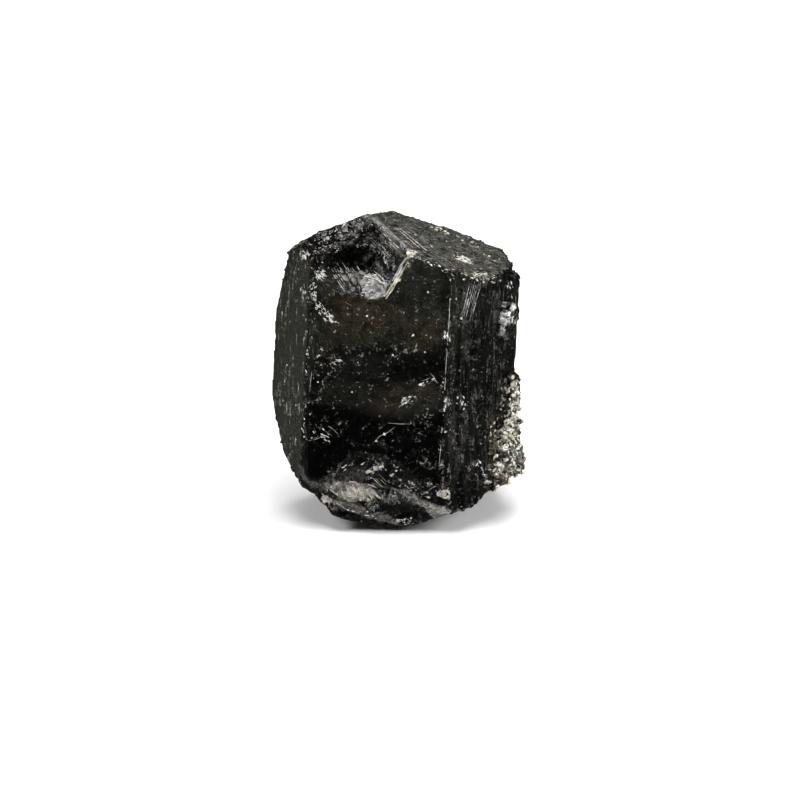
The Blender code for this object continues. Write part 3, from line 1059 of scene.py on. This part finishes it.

# Lines of the image along which the stone is bruised white, where the white flakes also paint the glints of
# chipped edges: the line, how many flakes, their spread in pixels and their longest length.
BRUISE_AND_GLINT_LINES = (
    (((327, 270), (321, 273), (314, 280)), 14, 2.0, 0.8),
    (((313, 283), (311, 290), (312, 297)), 12, 1.5, 0.6),
    (((312, 297), (316, 304), (321, 312)), 17, 2.8, 0.9),
    (((319, 308), (326, 315), (332, 320)), 14, 2.4, 0.9), (((332, 320), (338, 323), (342, 321)), 6, 0.6, 0.5),
    (((305, 284), (303, 292), (305, 298)), 8, 1.0, 0.7), (((299, 262), (297, 275), (295, 284)), 5, 1.5, 0.5),
    (((308, 348), (306, 365), (305, 385)), 8, 1.0, 0.6), (((303, 405), (303, 425), (305, 440)), 9, 1.2, 0.7),
    (((412, 255), (430, 262), (449, 272)), 14, 1.4, 0.6),
    (((449, 272), (475, 279), (490, 280)), 30, 3.0, 0.6), (((490, 281), (503, 275)), 8, 2.0, 0.6),
    (((507, 284), (513, 290), (512, 298)), 10, 1.2, 0.7), (((452, 394), (447, 402), (444, 410)), 9, 1.4, 0.8),
    (((461, 395), (464, 403), (466, 412)), 12, 1.8, 0.9), (((451, 277), (448, 330), (444, 380)), 9, 0.9, 0.4),
    (((444, 380), (441, 430), (438, 480)), 11, 0.9, 0.4),
    (((421, 385), (428, 380), (436, 378)), 10, 1.2, 0.6),
    (((402, 404), (407, 401), (412, 396)), 16, 1.8, 0.8), (((330, 362), (336, 361), (341, 360)), 5, 0.5, 0.9),
    (((444, 330), (447, 336), (450, 342)), 10, 1.4, 0.8),
    (((330, 440), (318, 433), (312, 428)), 12, 2.2, 0.7), (((305, 300), (304, 330), (306, 345)), 8, 1.6, 0.4),
    (((331, 501), (345, 508), (358, 513)), 9, 0.8, 0.7), (((358, 513), (372, 517), (386, 520)), 7, 0.8, 0.7),
    (((315, 494), (322, 500), (328, 507)), 10, 0.9, 0.7),
    (((345, 470), (356, 464), (368, 461)), 10, 1.8, 0.7),
    (((375, 459), (384, 470), (392, 477)), 10, 1.8, 0.8),
    (((400, 480), (415, 488), (430, 495)), 14, 1.8, 0.7),
    (((359, 272), (366, 277), (374, 276)), 16, 1.6, 0.9),
    (((374, 276), (381, 281), (387, 286)), 14, 1.4, 0.9),
    (((356, 248), (365, 243), (377, 249)), 16, 1.4, 0.6),
    (((322, 240), (338, 230), (356, 222)), 90, 6.0, 0.42),
    (((360, 224), (372, 232), (384, 242)), 45, 4.5, 0.42),
    (((312, 252), (325, 250), (336, 244)), 20, 3.0, 0.4),
    (((374, 247), (383, 254), (386, 262)), 12, 2.0, 0.5),
    (((480, 464), (484, 470), (489, 474)), 14, 2.0, 1.0),
)
# Small white specks, partly crumbs and partly painted glints: place in the image and length in millimetres.
SPARKS = (
    (367, 316, 0.42), (413, 335, 0.62), (393, 355, 0.45), (425, 352, 0.36), (352, 392, 0.3), (318, 382, 0.3),
    (397, 274, 0.3), (428, 292, 0.5), (456, 299, 0.4), (461, 318, 0.5), (384, 434, 0.5), (376, 441, 0.4),
    (445, 432, 0.5), (392, 476, 0.7), (396, 471, 0.55), (428, 497, 0.6), (405, 519, 0.6), (411, 518, 0.5),
    (290, 322, 0.3), (287, 365, 0.35), (283, 400, 0.4), (296, 405, 0.3),
)
CREAM_CRUMBS = (
    ((436, 227, 7, 3, 15), 14), ((446, 232, 4, 2, 0), 5), ((458, 258, 6, 3, 10), 12),
    ((468, 262, 3, 2, 0), 4), ((412, 253, 5, 3, -25), 10), ((354, 493, 24, 6, 12), 30),
    ((443, 494, 6, 5, 0), 22), ((505, 388, 4, 9, 0), 16), ((493, 440, 5, 18, 0), 18),
    ((470, 245, 36, 14, 20), 22), ((498, 470, 6, 10, 0), 10),
)
# A shard of mica on the rim of the hollow, in strips that lie side by side: each one's line and its widths.
SHARD = (
    (((412, 253), (406, 259), (401, 266), (397, 274), (393, 281)), (0.45, 0.35, 0.5, 0.45, 0.12)),
    (((403, 266), (399, 274), (395, 282), (390, 289), (385, 297)), (0.12, 0.4, 0.4, 0.28, 0.08)),
    (((408, 262), (403, 271), (398, 280), (392, 290), (386, 299)), (0.1, 0.22, 0.3, 0.22, 0.06)),
)
# Cream laths of the foot and of the side, each along a line of the image, with its width in the middle.
LATHS = (
    (((346, 486), (349, 491), (351, 497)), 0.40), (((352, 484), (355, 490), (357, 497)), 0.35),
    (((358, 488), (361, 494), (364, 500)), 0.45), (((341, 490), (343, 494), (345, 499)), 0.35),
    (((366, 489), (369, 493), (371, 498)), 0.35), (((374, 492), (377, 496), (381, 499)), 0.35),
    (((349, 481), (355, 482), (360, 484)), 0.30), (((330, 489), (334, 492), (338, 496)), 0.30),
    (((322, 493), (325, 498), (329, 503)), 0.35), (((368, 484), (373, 486), (377, 488)), 0.30),
    (((366, 473), (374, 468), (384, 466)), 0.75), (((502, 461), (498, 468), (494, 476)), 0.40),
)
# White plates of the mica patch near the top of the side: the area, and how many it has.
PATCH_PLATES = (
    ((502, 318, 1.4, 6, 0), 26), ((502, 330, 1.4, 6, 0), 20), ((508, 314, 4, 2, -20), 16),
    ((507, 321, 4, 2, 0), 10), ((513, 307, 2, 4, 25), 16),
)
SHARD_CHIPS = (((411, 254, 5, 3, -30), 12), ((398, 276, 3, 6, 25), 10))
# White splinters below the dark cavity of the hollow, where they also paint the highlight on its floor: the
# line of each and its width.
RIM_LATHS = (
    (((359, 271), (366, 275), (373, 278)), 0.26), (((366, 270), (373, 274), (380, 279)), 0.18),
    (((371, 278), (378, 280), (386, 285)), 0.28), (((378, 274), (383, 279), (388, 286)), 0.16),
    (((357, 266), (361, 272), (364, 278)), 0.14), (((362, 277), (370, 280), (378, 282)), 0.14),
    (((374, 271), (380, 276), (384, 281)), 0.12),
)
SCRATCHES = (
    ((329, 364), (334, 362), (339, 361)), ((330, 364), (333, 369)), ((312, 371), (311, 378), (310, 387)),
    ((373, 443), (380, 436), (387, 433), (395, 427)), ((388, 423), (400, 424), (411, 424)),
    ((309, 440), (316, 439), (322, 437)), ((328, 426), (333, 429), (338, 434)), ((325, 431), (332, 436)),
    ((422, 381), (427, 379), (430, 378)), ((430, 373), (434, 377), (437, 383)), ((428, 384), (433, 380)),
    ((402, 397), (408, 402), (412, 404)), ((404, 403), (409, 400), (413, 395)), ((402, 405), (410, 401)),
    ((344, 467), (350, 465), (355, 464)), ((372, 460), (375, 456)), ((428, 491), (432, 488), (437, 486)),
    ((449, 397), (450, 404), (451, 410)), ((345, 302), (352, 306)), ((318, 392), (325, 386)),
    ((451, 278), (450, 300), (449, 322), (447, 344)), ((447, 350), (446, 366), (445, 384), (444, 402)),
    ((443, 410), (442, 428), (441, 446), (439, 464)),
)

# Families of fine pale lines side by side, partly painted light on the hollow's streaks and on the side's arc
# of sheen: where the first starts and ends, where the last does, and how many.
LINES = (
    (((328, 267), (345, 292)), ((347, 259), (361, 280)), 11),
    (((363, 233), (396, 266)), ((376, 219), (411, 252)), 9),
    (((472, 276), (462, 318)), ((483, 275), (470, 324)), 8),
    (((371, 477), (384, 489)), ((378, 472), (394, 488)), 4),
    (((330, 481), (342, 491)), ((345, 479), (352, 487)), 5),
    (((378, 222), (420, 262)), ((392, 216), (450, 262)), 5),
)


# White flakes and fine strips: bruises, scratches and crumbs, and painted glints and highlights on chipped
# edges and in the hollow.
def make_bruises_and_glints(tree, rng):
    bm = bmesh.new()
    for path, count, spread, longest in BRUISE_AND_GLINT_LINES:
        flakes_along(bm, tree, path, count, spread, (0.15, longest), rng)
    for x, y, length in SPARKS:
        place, normal = under(tree, x, y)
        add_flake(bm, place, normal, any_way(rng), length, length * 0.7, 0.05, rng)
    for path in SCRATCHES:
        lay_strip(bm, tree, path, tapered(0.06, len(path)), FINE)
    for path, width in RIM_LATHS:
        lay_strip(bm, tree, path, tapered(width, len(path)), 0.05)
    for first, last, count in LINES:
        strips_between(bm, tree, first, last, count, rng)
    flakes_on(bm, tree, "tourmaline_crystal", 260, (0.12, 0.4), rng, hidden)
    # white of bruised stone, bright enough to paint glints too
    bruise_and_glint = flake_material("tourmaline_bruise_glints", (0.85, 0.84, 0.80), (0.28, 0.275, 0.26), 0.25)
    finish_flakes("bruises_glints_and_scratches", bm, bruise_and_glint)


def make_crumbs(tree, cream, rng):
    bm = bmesh.new()
    for area, count in CREAM_CRUMBS:
        flakes_in(bm, tree, area, count, (0.2, 0.7), rng)
    for path, widths in SHARD:
        lay_strip(bm, tree, path, widths, 0.14)
    for path, width in LATHS:
        lay_strip(bm, tree, path, (width * 0.5, width, width * 0.2), 0.09)
    for area, count in SHARD_CHIPS:
        flakes_in(bm, tree, area, count, (0.4, 0.9), rng)
    flakes_on(bm, tree, "tourmaline_crystal", 90, (0.15, 0.5), rng, hidden)
    finish_flakes("mica_crumbs", bm, cream)


def make_plates(matrix, patch, cream, rng):
    bm = bmesh.new()
    flakes_on(bm, tree_of(matrix), "mica_feldspar_matrix", 340, (0.25, 0.9), rng)
    finish_flakes("mica_plates", bm, cream)
    bm = bmesh.new()
    patch_tree = tree_of(patch)
    for area, count in PATCH_PLATES:
        flakes_in(bm, patch_tree, area, count, (0.2, 0.6), rng)
    white = flake_material("white_mica", (0.90, 0.89, 0.86), (0.50, 0.50, 0.48), 0.25)
    finish_flakes("white_mica_plates", bm, white)


# ---------------------------------------------------------------- surroundings

def soft_light(name, place, size, power, mirrored=True):
    """A square lamp that faces the part. The stone doesn't mirror it where mirrored is off."""
    data = bpy.data.lights.new(name, "AREA")
    data.size = size
    data.energy = power
    light = bpy.data.objects.new(name, data)
    bpy.context.scene.collection.objects.link(light)
    light.location = place
    light.visible_glossy = mirrored
    aim = Vector((0, 0, LEAN_PIVOT * MM)) - light.location
    light.rotation_euler = aim.to_track_quat("-Z", "Y").to_euler()


def make_floor():
    bm = bmesh.new()
    bmesh.ops.create_grid(bm, x_segments=1, y_segments=1, size=3.0)
    mesh = bpy.data.meshes.new("floor")
    bm.to_mesh(mesh)
    bm.free()
    floor = bpy.data.objects.new("floor", mesh)
    bpy.context.scene.collection.objects.link(floor)
    floor.location.z = -0.02 * MM
    floor.visible_glossy = False
    material, _, shader = new_material("floor")
    shader.inputs["Base Color"].default_value = (0.93, 0.93, 0.93, 1)
    shader.inputs["Roughness"].default_value = 0.9
    shader.inputs["Specular IOR Level"].default_value = 0.0
    mesh.materials.append(material)


# Upright strips of light around the room: degrees round from the camera's side, half-widths in degrees of
# their bright middle and of their soft edge, and colour.
STRIPS = (
    (-125, 12, 40, (0.105, 0.109, 0.088)), (50, 2, 7, (0.55, 0.55, 0.52)), (16, 2, 5, (0.22, 0.22, 0.21)),
    (84, 2, 6, (0.16, 0.16, 0.15)), (118, 2, 7, (0.10, 0.10, 0.095)), (160, 4, 12, (0.04, 0.04, 0.038)),
    (-60, 2, 7, (0.5, 0.5, 0.48)), (-170, 6, 30, (0.06, 0.06, 0.055)),
)
ROOM = (0.008, 0.008, 0.008)


def make_room():
    """A dark room with strips of light around it, and four lamps."""
    world = bpy.data.worlds.new("studio")
    world.use_nodes = True
    bpy.context.scene.world = world
    bpy.context.scene.view_settings.view_transform = "Standard"
    g = Graph(world.node_tree)
    way = g.add("TexCoord").outputs["Generated"]
    level = g.vector("MULTIPLY", way, (1, 1, 0))
    level = g.add("VectorMath", {0: level}, operation="NORMALIZE").outputs[0]
    height = g.add("SeparateXYZ", {0: way}).outputs["Z"]
    light = ROOM
    for degrees, middle, edge, strength in STRIPS:
        turn = math.radians(degrees)
        aim = (math.sin(turn), -math.cos(turn), 0)
        share = g.between(g.dot(level, aim), math.cos(math.radians(edge)), math.cos(math.radians(middle)))
        glow = g.mix(g.product(share, g.between(height, 0.75, 0.25)), (0.0, 0.0, 0.0), strength)
        light = g.vector("ADD", light, glow)
    g.feed(world.node_tree.nodes["Background"].inputs["Color"], light)
    soft_light("back_softbox", (-0.19, 0.42, 0.27), 0.12, 0.5)
    soft_light("left_softbox", (-0.40, -0.22, 0.42), 0.18, 1.5)
    soft_light("right_softbox", (0.50, -0.06, 0.28), 0.20, 2.8, mirrored=False)
    soft_light("overhead", (0.06, -0.08, 0.60), 0.50, 5.0, mirrored=False)


def main():
    noise.seed_set(1)  # unset, the noise of broken surfaces would differ from run to run
    make_camera()
    make_floor()
    make_room()
    crystal = tree_of(make_crystal())
    grains = growth_material(
        "feldspar", dark=(0.015, 0.013, 0.010), middle=(0.11, 0.098, 0.075), light=(0.38, 0.35, 0.27),
        stain=(0.17, 0.12, 0.10),
    )
    mica = growth_material(
        "pale_mica", dark=(0.010, 0.010, 0.009), middle=(0.06, 0.06, 0.058), light=(0.55, 0.55, 0.53),
        stain=(0.15, 0.15, 0.14),
    )
    matrix = make_growth("mica_feldspar_matrix", "feldspar_grains", grains, 0.8, crystal)
    patch = make_growth("mica_patch", "mica_patch_grains", mica, 0.5, crystal)
    rng = random.Random(5)
    cream = flake_material("cream_mica", (0.74, 0.69, 0.57), (0.34, 0.30, 0.23), 0.3)
    make_bruises_and_glints(crystal, rng)
    make_crumbs(crystal, cream, rng)
    make_plates(matrix, patch, cream, rng)


main()
